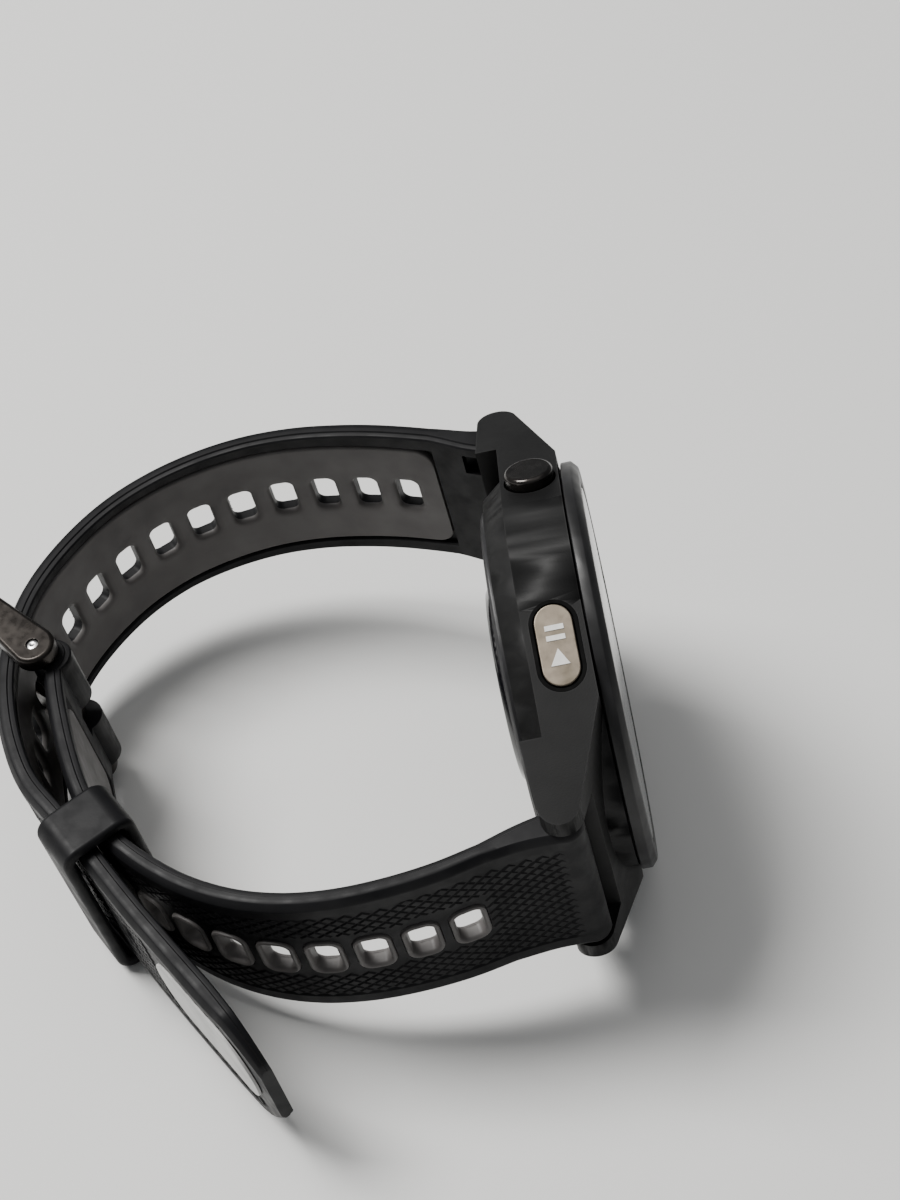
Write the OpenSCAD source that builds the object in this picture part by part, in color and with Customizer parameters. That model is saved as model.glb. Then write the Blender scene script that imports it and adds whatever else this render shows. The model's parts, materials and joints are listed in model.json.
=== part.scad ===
// GPS running watch, buckled into a loop and lying on its 9 o'clock side.
// The case is drawn in its own dial frame: X towards 6 o'clock, Y towards 3 o'clock, Z out of the
// display. The strap is drawn flat in the loop's plane, whose axes are X out of the display,
// Y towards 6 o'clock and Z towards 3 o'clock. laid() then stands both on the table.

/* [Case] */
// Diameter of the bezel
case_d = 46.1; // [46:0.1:46.6]
// Height of the display face above the middle of the case
face_h = 6; // [5.9:0.05:6.2]
// Depth of the sensor window below the middle of the case
sensor_h = 6.9; // [6.7:0.05:7]
// Distance from the case's centre to each spring bar
bar_a = 26.4; // [26.3:0.05:26.6]
// Width of the strap end that the lugs take
strap_w = 21.9; // [21.7:0.05:22]
// Thickness of each lug
lug_w = 1.9; // [1.7:0.05:2.1]

/* [Buttons] */
// Distance of the upper and lower buttons from the case's centre line
button_a = 11.8; // [11.4:0.1:12.2]
// Height of the buttons above the middle of the case
button_h = 0.7; // [0.4:0.1:0.9]
// Radius of a round cap
cap_r = 2.7; // [2.4:0.05:2.8]
// How far a round cap stands proud of the case
cap_out = 1.4; // [1.1:0.05:1.5]
// Length of the long cap
run_l = 8.8; // [8:0.1:9]
// Width of the long cap
run_w = 4; // [3.8:0.1:4.1]

/* [Strap] */
// Thickness of the long strap
long_t = 2.3; // [2.2:0.05:2.4]
// Thickness of the short strap
short_t = 2.15; // [2.1:0.05:2.2]
// Width of both straps at the buckle
tip_w = 20.2; // [20:0.05:20.3]
// Length of an adjustment hole along the strap
hole_l = 2.9; // [2.8:0.05:3]
// Width of an adjustment hole across the strap
hole_w = 5; // [4.6:0.1:5.2]
// Thickness of the grey inner layer
liner_t = 0.7; // [0.6:0.05:0.8]

/* [Buckle] */
// Radius of the buckle pin
pin_r = 0.75; // [0.7:0.01:0.8]
// Thickness of each arm of the frame
arm_t = 2.2; // [2:0.05:2.3]
// Length of the keeper loop along the strap
keeper_l = 6.6; // [6:0.1:6.8]
// Thickness of the keeper's wall
keeper_t = 1.4; // [1.3:0.05:1.5]

/* [Hidden] */
$fn = 72;

polymer = [0.07, 0.07, 0.08];
silicone = [0.05, 0.05, 0.055];
warm_grey = [0.33, 0.32, 0.32];
pale_grey = [0.62, 0.62, 0.6];
gunmetal = [0.3, 0.28, 0.26];
bronze = [0.42, 0.38, 0.34];
steel = [0.75, 0.75, 0.76];
seal_black = [0.02, 0.02, 0.02];

cut = 0.01;                        // overlap that keeps a cut clean

// Heights of the case's layers in the dial frame
shell_top = 3.9;
bezel_foot = 4.15;
seat_h = face_h - 1.3;             // face inside the bezel that carries the gasket
lens_foot = face_h - 1;
shell_foot = -5;
flange_top = -3.9;
back_foot = -5.7;
boss_foot = -6.3;
chamfer_top = -2.6;

bezel_r = case_d / 2;
wall_r = bezel_r - 0.45;           // outside of the round wall
cavity_r = 20;
flange_r = 16;                     // opening for the case back
back_r = 19.4;
screw_ring = 17.6;
window_r = 11.5;
lens_r = 20.4;

// Lugs
bar_h = -2.2;
lug_r = 2.3;                       // round end of a lug, seen from the side
slot_b = strap_w / 2 + 0.15;       // half the gap between two lugs
lug_b = slot_b + lug_w;            // outside of a lug
lug_tip_a = bar_a + lug_r;
slot_a = bar_a - 2.4;              // wall at the bottom of that gap
slope_a = 17;                      // where the lug's front slope starts
lug_reach = norm([lug_tip_a, lug_b]);
touch_turn = atan2(lug_b, lug_tip_a) + acos(wall_r / lug_reach);
touch = wall_r * [cos(touch_turn), sin(touch_turn)];
side_turn = 90 - atan2(lug_tip_a - touch.x, touch.y - lug_b);
side_b = touch.y - (button_a - touch.x) * tan(side_turn);
run_a = button_a - 0.45;            // the long cap sits a little nearer the middle
chamfer_in = 1.9;                  // width of the chamfer round the back
tip_slope = atan2(shell_top - bar_h, slope_a - bar_a);
tip_reach = norm([shell_top - bar_h, slope_a - bar_a]);
tip_turn = tip_slope - acos(lug_r / tip_reach);

// Buttons: [distance towards 6 o'clock, distance towards 3 o'clock, turn, side]
run_site = [-run_a, touch.y - (run_a - touch.x) * tan(side_turn), -side_turn, 1];
back_site = [button_a, side_b, side_turn, 1];
light_site = [-button_a, -side_b, -side_turn, -1];
up_site = [0, -wall_r, 0, -1];
down_site = [button_a, -side_b, side_turn, -1];
sites = [run_site, back_site, light_site, up_site, down_site];
well_d = 1.5;                      // depth of a button's well
cap_in = 0.8;                      // how deep a cap reaches into it
stem_r = 0.8;
stem_end = -4.9;
clip_top = -3.4;
contact_top = -5.5;
run_out = 0.35;                    // how far the long cap stands proud
seat_gap = 0.15;
seat_wall = 0.45;

// Routes of the two straps through the loop, along the middle of their thickness
long_route = [
    [-2.2, 26.7], [-6, 27.9], [-10.5, 30.1], [-16.5, 32.5], [-21.8, 34.1], [-27.3, 35.2],
    [-33.2, 35.5], [-39.3, 34.7], [-45.2, 32.8], [-50.6, 29.6], [-55.4, 25], [-59, 19.8],
    [-61.1, 14.2], [-62, 9], [-62, 4], [-61.2, -1.5], [-59.5, -7], [-56.6, -11.9],
    [-53.7, -16.3], [-50.9, -21.3], [-47.9, -26.4], [-44.7, -31.5], [-41.4, -36.7],
    [-38.2, -41.8], [-36, -45.3]
];
short_route = [
    [-2.2, -26.7], [-6.5, -27.2], [-11, -28.2], [-16, -29.3], [-21.5, -29.9], [-27, -29.9],
    [-32.3, -29.1], [-37.3, -27.4], [-41.9, -24.8], [-45.8, -21.6], [-49.1, -18.1], [-51.8, -14.3],
    [-53.7, -9.4], [-55, -4.2], [-55.9, 1], [-56.4, 5.2], [-56.6, 9.2]
];
long_first = 13.5;                 // first hole, along the route
long_pitch = 5.33;
long_count = 19;
short_first = 12.4;
short_pitch = 5.12;
short_count = 10;
liner_from = 9;
long_liner_to = 112;
short_liner_to = 74;
panel_from = 116.5;
panel_to = 134.5;
liner_w = 17;
panel_w = 11;
end_r = 2.1;                       // thick end of a strap round its spring bar
bar_r = 0.75;
tip_r = 0.45;

// Buckle and keeper in the loop's plane
pin_at = [-57.9, 9.3];
roll_r = 2.4;
bar_at = [-64, 17.1];              // front bar of the frame
front_r = 1.4;
arm_in = tip_w / 2 + 0.25;
arm_out = arm_in + arm_t;
tongue_route = [[-57.9, 9.3], [-60.9, 12], [-63.3, 13.6], [-65.4, 15.2], [-66.2, 17.3], [-66, 19.4]];
tongue_t = 1.3;
tongue_w = 3.2;
keeper_at = [-52.7, -15.35];
keeper_turn = -60;                 // direction of the straps through the keeper
keeper_gap = 6.2;                  // room inside the keeper across both straps
keeper_in = tip_w / 2 + 0.25;
keeper_out = keeper_in + keeper_t;

// The watch lies on three points: the cap of the middle left button, the front end of the buckle's
// lower arm and the lower edge of the keeper
cap_bevel = 0.3;
arm_end_r = 1.8;
keeper_round = 2;
low_side = [-0.91, -0.41, 0];      // way down across the loop's plane
keeper_side = [cos(keeper_turn - 90), sin(keeper_turn - 90), 0];
keeper_end = [-cos(keeper_turn), -sin(keeper_turn), 0];
foot_button = [button_h, 0, -wall_r - cap_out] + (cap_r - cap_bevel) * low_side;
foot_arm = [bar_at.x, bar_at.y, -arm_out] + arm_end_r * low_side;
foot_keeper = [keeper_at.x, keeper_at.y, -keeper_out]
    + (keeper_gap / 2 + keeper_t - keeper_round) * keeper_side + keeper_l / 2 * keeper_end;
table_up = cross(foot_arm - foot_button, foot_keeper - foot_button);
tilt = atan(table_up.x / table_up.z);
lean = atan(table_up.y / norm([table_up.x, table_up.z]));
lay_x = 28.346;
lay_y = 3.788;
lay_z = 0.044 - table_up * foot_button / norm(table_up);

// ---- frames ----
module laid() translate([lay_x, lay_y, lay_z]) rotate([lean, 0, 0]) rotate([0, -tilt, 0]) children();
module dial() laid() rotate(a = 120, v = [1, 1, 1]) children();
// Z outwards through a button, X along the case's side
module at_button(s)
    translate([s[0], s[1], button_h]) rotate([0, 0, -s[2] * s[3]]) rotate([-90 * s[3], 0, 0]) children();

// ---- shared shapes ----
module disc(r, lo, hi) translate([0, 0, lo]) cylinder(r = r, h = hi - lo);
module taper(r_lo, r_hi, lo, hi) translate([0, 0, lo]) cylinder(r1 = r_lo, r2 = r_hi, h = hi - lo);
module ring(r_in, r_out, lo, hi) difference() {
    disc(r_out, lo, hi);
    disc(r_in, lo - 1, hi + 1);
}
module block(x, y, lo, hi) translate([x[0], y[0], lo]) cube([x[1] - x[0], y[1] - y[0], hi - lo]);
module stadium(l, w) union() {
    square([l - w, w], center = true);
    for (s = [-1, 1]) translate([s * (l - w) / 2, 0]) circle(d = w);
}
module stadium_block(l, w, lo, hi) translate([0, 0, lo]) linear_extrude(hi - lo) stadium(l, w);
module round_rect(x, y, r) union() {
    square([x - 2 * r, y], center = true);
    square([x, y - 2 * r], center = true);
    for (i = [-1, 1], j = [-1, 1]) translate([i * (x / 2 - r), j * (y / 2 - r)]) circle(r);
}

// ---- curves ----
function blend(a, b, c, d, t) =
    0.5 * (2 * b + (c - a) * t + (2 * a - 5 * b + 4 * c - d) * t * t + (3 * b - a - 3 * c + d) * t * t * t);
function smooth(p, n) = let(last = len(p) - 1) [
    for (i = [0 : last - 1], k = [0 : n - 1])
        blend(p[max(i - 1, 0)], p[i], p[i + 1], p[min(i + 2, last)], k / n),
    p[last]
];
function heading(c, i) =
    let(v = c[min(i + 1, len(c) - 1)] - c[max(i - 1, 0)]) v / norm(v);
function beside(c, d) = [for (i = [0 : len(c) - 1]) let(h = heading(c, i)) c[i] + d * [-h.y, h.x]];
function flip(c) = [for (i = [len(c) - 1 : -1 : 0]) c[i]];
function reach(c, i = 1, sum = [0]) =
    i >= len(c) ? sum : reach(c, i + 1, concat(sum, [sum[i - 1] + norm(c[i] - c[i - 1])]));
function station(c, s) =
    let(l = reach(c), i = [for (k = [0 : len(l) - 2]) if (l[k] <= s && s < l[k + 1]) k][0],
        v = c[i + 1] - c[i])
    [c[i] + v * (s - l[i]) / (l[i + 1] - l[i]), atan2(v.y, v.x)];
function stretch(c, from, to) = let(l = reach(c)) [
    station(c, from)[0],
    for (k = [0 : len(c) - 1]) if (l[k] > from + 0.3 && l[k] < to - 0.3) c[k],
    station(c, to)[0]
];
module band(c, lo, hi) polygon(concat(beside(c, lo), flip(beside(c, hi))));
module slab(w) translate([0, 0, -w / 2]) linear_extrude(w) children();
module at_station(c, s) let(p = station(c, s)) translate(p[0]) rotate(p[1]) children();

long_line = smooth(long_route, 2);
short_line = smooth(short_route, 2);

// ---- case ----
module lug_plan() union() {
    circle(wall_r, $fn = 180);
    for (j = [-1, 1]) polygon([
        [-touch.x, j * touch.y], [touch.x, j * touch.y], [lug_tip_a + 1, j * lug_b],
        [lug_tip_a + 1, 0], [-lug_tip_a - 1, 0], [-lug_tip_a - 1, j * lug_b]
    ]);
}

module lug_side() let(t = [bar_a + lug_r * cos(tip_turn), bar_h + lug_r * sin(tip_turn)]) union() {
    polygon([
        [-slope_a, shell_top], [slope_a, shell_top], t, [bar_a, bar_h], [bar_a, bar_h - lug_r],
        [slope_a + 3, shell_foot], [-slope_a - 3, shell_foot], [-bar_a, bar_h - lug_r],
        [-bar_a, bar_h], [-t.x, t.y]
    ]);
    for (i = [-1, 1]) translate([i * bar_a, bar_h]) circle(lug_r);
}

module lug_bridge() intersection() {
    translate([0, 0, shell_foot]) linear_extrude(shell_top - shell_foot) lug_plan();
    rotate([90, 0, 0]) linear_extrude(60, center = true) lug_side();
}

module case_blank() union() {
    intersection() {
        lug_bridge();
        union() {
            disc(60, chamfer_top, shell_top + 1);
            taper(wall_r - chamfer_in, wall_r, shell_foot - cut, chamfer_top);
            for (i = [-1, 1])
                block([i * (slope_a + 15) - 12, i * (slope_a + 15) + 12], [-20, 20], shell_foot, chamfer_top + cut);
        }
    }
    disc(wall_r, chamfer_top, shell_top, $fn = 180);
    taper(wall_r - chamfer_in, wall_r, shell_foot, chamfer_top);
}

module button_wells() {
    for (s = sites) at_button(s) {
        disc(stem_r + 0.07, -6, 1);
        disc(1.42, -well_d - 0.6, 0);
    }
    for (s = [back_site, light_site, up_site, down_site]) at_button(s) disc(cap_r + 0.2, -well_d, 3);
    at_button(run_site)
        stadium_block(run_l + 2 * (seat_gap + seat_wall), run_w + 2 * (seat_gap + seat_wall), -well_d, 3);
}

module mid_case() color(polymer) dial() difference() {
    case_blank();
    disc(cavity_r, flange_top, shell_top + 1);
    disc(flange_r, shell_foot - 1, flange_top + 1);
    for (i = [-1, 1]) {
        block([min(i * slot_a, i * 40), max(i * slot_a, i * 40)], [-slot_b, slot_b], -10, 10);
        translate([i * bar_a, 0, bar_h]) rotate([90, 0, 0])
            cylinder(r = tip_r + 0.05, h = 2 * slot_b + 2.1, center = true);
    }
    for (k = [0 : 3]) rotate(45 + 90 * k) translate([screw_ring, 0, 0]) disc(0.6, -8, flange_top + cut);
    button_wells();
}

module bezel() color([0.1, 0.1, 0.11]) dial() difference() {
    union() {
        disc(bezel_r - 1.1, shell_top, bezel_foot, $fn = 180);
        disc(bezel_r, bezel_foot, face_h - 0.7, $fn = 180);
        taper(bezel_r, bezel_r - 0.8, face_h - 0.7, face_h, $fn = 180);
    }
    disc(lens_r - 1, shell_top - 1, face_h + 1);
    disc(lens_r + 0.05, seat_h, face_h + 1);
}

module lens() color([0.05, 0.06, 0.07]) dial() union() {
    disc(lens_r, lens_foot, face_h - 0.4, $fn = 180);
    taper(lens_r, lens_r - 0.6, face_h - 0.4, face_h - 0.05, $fn = 180);
}

module lens_gasket() color(seal_black) dial() ring(lens_r - 0.9, lens_r - 0.05, seat_h, lens_foot);

module display_panel() color([0.02, 0.03, 0.05]) dial() difference() {
    disc(17.9, 3.95, 4.9);
    block([16.5, 20], [-6, 6], 3, 4.2);
}

module display_frame() color([0.25, 0.26, 0.28]) dial() difference() {
    union() {
        disc(19.7, 3.4, 3.85);
        ring(18, 19.3, 3.85, 4.6);
    }
    disc(6, 3, 5);
    block([14, 17.5], [-6, 6], 3, 5);
}

module gps_antenna() color([0.8, 0.62, 0.3]) dial() difference() {
    ring(18.5, 19.7, 2.5, 3.35);
    block([-30, -15], [-2, 2], 2, 4);
}

module main_board() color([0.05, 0.25, 0.14]) dial() {
    difference() {
        disc(18.2, 2.4, 3.2);
        for (k = [0 : 2]) rotate(30 + 120 * k) translate([16.5, 0, 0]) disc(0.8, 2, 4);
    }
    block([-9, -2], [-8, -1], 1.5, 2.4);
    block([-8, -3], [2, 7], 1.6, 2.4);
    block([1, 6], [-7, -3], 1.7, 2.4);
    block([1, 5], [0, 3], 1.7, 2.4);
    block([-3, 2], [9, 12], 1.6, 2.4);
}

module button_contacts() color([0.7, 0.6, 0.4]) dial() for (s = sites) at_button(s) {
    translate([-1.5, -1.5, contact_top - 0.7]) cube([3, 3, 0.5]);
    disc(1, contact_top - 0.2, contact_top);
}

module battery() color([0.55, 0.57, 0.6]) dial()
    translate([-1.5, 0, -3.3]) linear_extrude(4.2) round_rect(19, 17, 1.5);

// ---- vibration motor: its axle runs along the dial's Y ----
motor_a = 13.2;
motor_h = -1.6;
module at_motor() translate([motor_a, 0, motor_h]) rotate([-90, 0, 0]) children();
module motor_can() color(steel) dial() at_motor() difference() {
    disc(2, -5.5, 1.5);
    disc(0.45, -0.5, 3);
}
module motor_weight() color([0.5, 0.48, 0.45]) dial() at_motor() {
    disc(0.4, -0.4, 5);
    difference() {
        disc(1.8, 2.2, 4.8);
        block([-3, 3], [0.6, 3], 2, 5);
    }
}

module beeper() color([0.75, 0.6, 0.3]) dial() translate([-15, 0, 0]) {
    disc(3.4, -3.8, -3.4);
    disc(2.6, -3.4, -2.2);
}

// ---- back of the case ----
port_a = 13.4;
module case_back() color([0.1, 0.1, 0.11]) dial() difference() {
    union() {
        disc(back_r, back_foot + 0.3, shell_foot);
        taper(back_r - 0.6, back_r, back_foot, back_foot + 0.3);
        disc(flange_r - 0.1, shell_foot, -4.2);
        taper(window_r + 0.4, window_r + 1.2, boss_foot, back_foot);
    }
    ring(flange_r - 0.6, flange_r + 1, -4.85, -4.45);
    disc(10, -5.5, 0);
    disc(7.5, -7, 0);
    disc(window_r + 0.1, boss_foot - 1, boss_foot + 0.15);
    for (k = [0 : 3]) rotate(45 + 90 * k) translate([screw_ring, 0, 0]) {
        disc(0.62, -8, 0);
        disc(1.15, -8, shell_foot - 0.35);
    }
    block([port_a - 1.3, port_a + 1.3], [-4.2, 4.2], -8, -4.7);
    for (k = [-1.5 : 1.5]) translate([port_a, 2 * k, 0]) disc(0.36, -5, 0);
}

module back_gasket() color(seal_black) dial() ring(flange_r - 0.58, flange_r - 0.02, -4.8, -4.5);

module back_screws() color(steel) dial() for (k = [0 : 3]) rotate(45 + 90 * k) translate([screw_ring, 0, 0])
    difference() {
        union() {
            disc(1.1, back_foot + 0.05, shell_foot - 0.35);
            disc(0.55, shell_foot - 0.35, flange_top - 0.1);
        }
        translate([0, 0, back_foot - 0.5]) cylinder(r = 0.5, h = 0.8, $fn = 6);
    }

module sensor_window() color([0.03, 0.03, 0.035]) dial() union() {
    disc(window_r, boss_foot, boss_foot + 0.15);
    taper(window_r - 0.9, window_r, -sensor_h, boss_foot);
}

module sensor_board() color([0.06, 0.2, 0.12]) dial() {
    disc(9, -5.2, -4.6);
    for (k = [0 : 3]) rotate(90 * k) block([2.6, 5.2], [-1.3, 1.3], -5.9, -5.2);
    block([-1.2, 1.2], [-1.2, 1.2], -5.8, -5.2);
}

module charge_contacts() color([0.85, 0.68, 0.32]) dial()
    for (k = [-1.5 : 1.5]) translate([port_a, 2 * k, 0]) disc(0.35, -5.1, -4);

// ---- buttons ----
module stem() difference() {
    disc(stem_r, stem_end, -cap_in);
    ring(0.55, 2, clip_top - 0.45, clip_top + 0.05);
}
module round_button(s) dial() at_button(s) union() {
    disc(cap_r, -cap_in, cap_out - cap_bevel);
    taper(cap_r, cap_r - cap_bevel, cap_out - cap_bevel, cap_out);
    stem();
}
module clip(s) color(steel) dial() at_button(s) difference() {
    ring(0.57, 1.45, clip_top - 0.4, clip_top);
    block([-3, 0], [-0.45, 0.45], clip_top - 1, clip_top + 1);
}
module run_button() color(bronze) dial() at_button(run_site) union() {
    stadium_block(run_l, run_w, -cap_in, run_out);
    stem();
}
// Plain raised symbol: a play arrow and two bars
module run_button_mark() color([0.9, 0.9, 0.88]) dial() at_button(run_site) translate([0, 0, run_out]) {
    linear_extrude(0.08) polygon([[-2.2, -1], [-2.2, 1], [-0.4, 0]]);
    for (k = [0, 1]) translate([0.5 + 1.1 * k, -1, 0]) cube([0.55, 2, 0.08]);
}
module run_button_seat() color(seal_black) dial() at_button(run_site) difference() {
    stadium_block(run_l + 2 * (seat_gap + seat_wall), run_w + 2 * (seat_gap + seat_wall), -well_d, 0.1);
    stadium_block(run_l + 2 * seat_gap, run_w + 2 * seat_gap, -well_d - 1, 1);
}
module back_button() color([0.13, 0.12, 0.12]) round_button(back_site);
module light_button() color([0.13, 0.12, 0.12]) round_button(light_site);
module up_button() color([0.13, 0.12, 0.12]) round_button(up_site);
module down_button() color([0.13, 0.12, 0.12]) round_button(down_site);
module run_clip() clip(run_site);
module back_clip() clip(back_site);
module light_clip() clip(light_site);
module up_clip() clip(up_site);
module down_clip() clip(down_site);
module button_seals() color(seal_black) dial() for (s = sites) at_button(s)
    translate([0, 0, -well_d - 0.33]) rotate_extrude($fn = 48) translate([1.12, 0]) circle(0.27, $fn = 16);

// ---- spring bars; i is -1 at 12 o'clock and 1 at 6 o'clock ----
knob_b = 8.6;
tip_travel = 1.4;
module at_bar(i) dial() translate([i * bar_a, 0, bar_h]) rotate([-90, 0, 0]) children();
module spring_bar(i) color(steel) at_bar(i) difference() {
    union() {
        disc(bar_r, -slot_b + 0.4, slot_b - 0.4);
        disc(tip_r, -slot_b - 0.85, -slot_b + 0.4);
    }
    disc(tip_r + 0.05, knob_b - 3, slot_b);
    block([-0.45, 0.45], [0, 2], knob_b - tip_travel - 0.5, knob_b + 0.5);
}
module quick_tip(i) color([0.6, 0.6, 0.61]) at_bar(i) union() {
    disc(tip_r, knob_b - 1, slot_b + 0.85);
    translate([0, 0, knob_b]) rotate([-90, 0, 0]) cylinder(r = 0.38, h = 2.2);
}
module spring_bar_12() spring_bar(-1);
module spring_bar_6() spring_bar(1);
module quick_tip_12() quick_tip(-1);
module quick_tip_6() quick_tip(1);

// ---- strap ----
// The straps narrow from the lugs to the buckle
module strap_taper() rotate([90, 0, 0]) linear_extrude(160, center = true) polygon([
    [10, -strap_w / 2], [10, strap_w / 2], [-8, strap_w / 2], [-45, tip_w / 2], [-80, tip_w / 2],
    [-80, -tip_w / 2], [-45, -tip_w / 2], [-8, -strap_w / 2]
]);
module strap_end(j) {
    translate([bar_h, j * bar_a]) circle(end_r);
    polygon([[bar_h, j * (bar_a - end_r)], [bar_h, j * (bar_a + end_r)], [-9, j * 30.2], [-9, j * 27.7]]);
}
module bar_hole(j) translate([bar_h, j * bar_a, 0]) {
    cylinder(r = bar_r + 0.02, h = 40, center = true);
    translate([-5, -1.2, knob_b - tip_travel - 0.9]) cube([5, 2.4, tip_travel + 1.7]);
}
module strap_holes(line, first, pitch, count) for (k = [0 : count - 1])
    at_station(line, first + pitch * k) cube([hole_l, 6, hole_w], center = true);
// in_side says on which side of the route the grey layer lies, and proud how far it stands out
module liner_band(line, t, from, to, in_side, proud = 0) slab(liner_w)
    band(stretch(line, from, to), in_side * (t / 2 + proud), in_side * (t / 2 - liner_t));

module long_strap() color(silicone) laid() difference() {
    intersection() {
        slab(strap_w) union() {
            band(long_line, -long_t / 2, long_t / 2);
            strap_end(1);
        }
        strap_taper();
    }
    liner_band(long_line, long_t, liner_from, long_liner_to, 1, proud = 1);
    strap_holes(long_line, long_first, long_pitch, long_count);
    bar_hole(1);
    long_tip_cut();
    slab(panel_w) band(stretch(long_line, panel_from, panel_to), -long_t, -long_t / 2 + 0.3);
}
module long_tip_cut() at_station(long_line, reach(long_line)[len(long_line) - 1] - 0.1)
    for (j = [-1, 1]) rotate([90, 0, 0]) linear_extrude(20, center = true)
        polygon([[-5, j * 12], [-5, j * tip_w / 2], [1, j * 4], [1, j * 12]]);
module long_strap_liner() color(warm_grey) laid() difference() {
    liner_band(long_line, long_t, liner_from, long_liner_to, 1);
    strap_holes(long_line, long_first, long_pitch, long_count);
}
module tail_panel() color(pale_grey) laid()
    slab(panel_w) band(stretch(long_line, panel_from, panel_to), -long_t / 2, -long_t / 2 + 0.3);

module roll() translate(pin_at) circle(roll_r);
module short_strap() color(silicone) laid() difference() {
    intersection() {
        slab(strap_w) union() {
            band(short_line, -short_t / 2, short_t / 2);
            strap_end(-1);
            roll();
        }
        strap_taper();
    }
    liner_band(short_line, short_t, liner_from, short_liner_to, -1, proud = 1);
    strap_holes(short_line, short_first, short_pitch, short_count);
    bar_hole(-1);
    translate(pin_at) {
        cylinder(r = pin_r + 0.06, h = 40, center = true);
        translate([-4, -3.2, -tongue_w / 2 - 0.4]) cube([8, 8, tongue_w + 0.8]);
    }
}
module short_strap_liner() color(warm_grey) laid() difference() {
    liner_band(short_line, short_t, liner_from, short_liner_to, -1);
    strap_holes(short_line, short_first, short_pitch, short_count);
}

// ---- buckle ----
module arm_outline() let(v = bar_at - pin_at, u = v / norm(v), n = [-u.y, u.x]) union() {
    translate(pin_at) circle(2.5);
    translate(bar_at) circle(arm_end_r);
    polygon([pin_at + 2.5 * n, pin_at - 2.5 * n, bar_at - arm_end_r * n, bar_at + arm_end_r * n]);
}
module buckle_frame() color(gunmetal) laid() difference() {
    union() {
        for (j = [-1, 1]) translate([0, 0, j > 0 ? arm_in : -arm_out]) linear_extrude(arm_t) arm_outline();
        translate(bar_at) cylinder(r = front_r, h = 2 * arm_in + 1, center = true);
    }
    translate(pin_at) cylinder(r = pin_r, h = 60, center = true);
}
module buckle_pin() color(steel) laid() translate(pin_at)
    cylinder(r = pin_r, h = 2 * arm_out - 0.2, center = true);
module buckle_tongue() color(gunmetal) laid() difference() {
    slab(tongue_w) union() {
        translate(pin_at) circle(1.9);
        band(smooth(tongue_route, 3), -tongue_t / 2, tongue_t / 2);
    }
    translate(pin_at) cylinder(r = pin_r + 0.05, h = 60, center = true);
}

module keeper_loop() color(silicone) laid() translate(keeper_at) rotate(keeper_turn)
    rotate([90, 0, 90]) translate([0, 0, -keeper_l / 2]) linear_extrude(keeper_l) difference() {
        round_rect(keeper_gap + 2 * keeper_t, 2 * keeper_out, keeper_round);
        round_rect(keeper_gap, 2 * keeper_in, 0.8);
    }

mid_case();
bezel();
lens();
lens_gasket();
display_panel();
display_frame();
gps_antenna();
main_board();
button_contacts();
battery();
motor_can();
motor_weight();
beeper();
case_back();
back_gasket();
back_screws();
sensor_window();
sensor_board();
charge_contacts();
run_button();
run_button_mark();
run_button_seat();
back_button();
light_button();
up_button();
down_button();
run_clip();
back_clip();
light_clip();
up_clip();
down_clip();
button_seals();
spring_bar_12();
spring_bar_6();
quick_tip_12();
quick_tip_6();
long_strap();
long_strap_liner();
tail_panel();
short_strap();
short_strap_liner();
buckle_frame();
buckle_pin();
buckle_tongue();
keeper_loop();
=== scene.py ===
# GPS running watch, buckled into a loop and lying on its 9 o'clock side.
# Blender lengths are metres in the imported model's frame. The pieces are drawn in the watch's own
# millimetres, with X out of the display, Y towards 6 o'clock and Z towards 3 o'clock.
import bisect
import json
import math
import bmesh
import bpy
from mathutils import Matrix, Vector


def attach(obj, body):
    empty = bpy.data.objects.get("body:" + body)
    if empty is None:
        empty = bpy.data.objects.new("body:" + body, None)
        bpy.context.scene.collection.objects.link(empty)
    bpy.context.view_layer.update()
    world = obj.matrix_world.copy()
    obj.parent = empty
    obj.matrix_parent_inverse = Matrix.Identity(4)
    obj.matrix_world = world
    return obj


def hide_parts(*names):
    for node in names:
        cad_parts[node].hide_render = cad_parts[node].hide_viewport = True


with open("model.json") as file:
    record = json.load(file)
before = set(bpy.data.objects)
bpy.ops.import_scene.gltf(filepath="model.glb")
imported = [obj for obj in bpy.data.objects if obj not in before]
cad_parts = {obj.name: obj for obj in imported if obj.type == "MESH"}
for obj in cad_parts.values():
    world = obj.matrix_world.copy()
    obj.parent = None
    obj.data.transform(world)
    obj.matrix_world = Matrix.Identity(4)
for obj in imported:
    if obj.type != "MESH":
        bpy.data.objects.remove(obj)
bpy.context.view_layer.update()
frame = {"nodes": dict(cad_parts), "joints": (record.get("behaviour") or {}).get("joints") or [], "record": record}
nodes = frame["nodes"]
mm = 0.001
print("frame loaded,", len(nodes), "nodes")

# Where the watch lies
case = {
    "displayHeight": 5.95,    # display face above the middle of the case
    "barAlong": 26.4,         # spring bars from the centre
    "barHeight": -2.2,
    "barRoom": 0.77,          # radius of the hole for a spring bar
    "knobSlot": (2.5, 1.2, 0.4), "knobFrom": 6.3, "knobTo": 9.4,
}


def layWatch():
    # the watch's millimetres to the frame's metres, from a mount and a joint of the record
    face = [m for m in frame["record"]["mounts"] if m["name"] == "display_face"][0]
    release = [j for j in frame["joints"] if j["name"] == "quick_release_12"][0]
    outward = Vector(face["axis"]).normalized()
    toThree = Vector(release["axis"]).normalized()
    toSix = toThree.cross(outward)
    lie = Matrix((outward, toSix, toThree)).transposed().to_4x4()
    lie.translation = Vector(face["pos_m"]) - outward * case["displayHeight"] * mm
    return lie @ Matrix.Scale(mm, 4)


watchLie = layWatch()

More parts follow.
